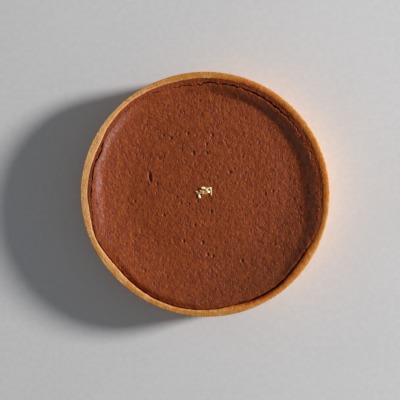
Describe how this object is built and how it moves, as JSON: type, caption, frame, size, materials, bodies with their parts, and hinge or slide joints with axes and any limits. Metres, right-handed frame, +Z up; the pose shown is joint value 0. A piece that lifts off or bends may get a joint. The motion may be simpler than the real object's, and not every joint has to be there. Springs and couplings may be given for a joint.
{
  "type": "chocolate cheesecake",
  "caption": "Round baked chocolate cheesecake in a plain straight-sided pastry shell, with a cracked, sunken top and a flake of gold leaf in the middle.",
  "frame": {"origin": "middle of the flat underside of the pastry shell, at the height it rests on", "axes": "+Z up; as seen from above +X is the right of the cake and +Y its far side, where the crack is widest"},
  "size_m": [0.1816, 0.1788, 0.0299],
  "materials": {
    "baked_pastry": "matte, golden-brown baked shortcrust",
    "chocolate_custard": "satin skin of a baked chocolate filling, with small burst bubbles",
    "gold_leaf": "crumpled bright metal leaf"
  },
  "bodies": {
    "root": {"pastry_shell": "baked_pastry", "chocolate_filling": "chocolate_custard", "gold_leaf": "gold_leaf"}
  },
  "joints": []
}
